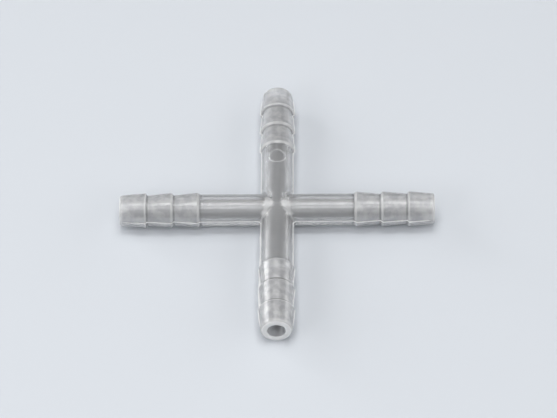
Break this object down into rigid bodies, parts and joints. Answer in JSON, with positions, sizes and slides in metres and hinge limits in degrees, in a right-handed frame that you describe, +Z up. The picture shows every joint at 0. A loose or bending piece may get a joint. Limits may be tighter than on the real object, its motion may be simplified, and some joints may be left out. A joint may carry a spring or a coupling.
{
  "type": "barbed cross connector",
  "caption": "Flat four-way hose cross: two plain tubes cross at right angles, each arm ends in a barbed spigot, and the bores meet in the middle.",
  "frame": {"origin": "the point in the hub where the axes of the two straight bores cross", "axes": "+X along one bore, +Y along the other, +Z up, square to the flat cross and to its parting plane"},
  "size_m": [0.08, 0.08, 0.0088],
  "materials": {
    "natural_polypropylene": "translucent greyish white moulded plastic, smooth with a soft gloss"
  },
  "bodies": {
    "root": {"cross_connector": "natural_polypropylene"}
  },
  "joints": []
}
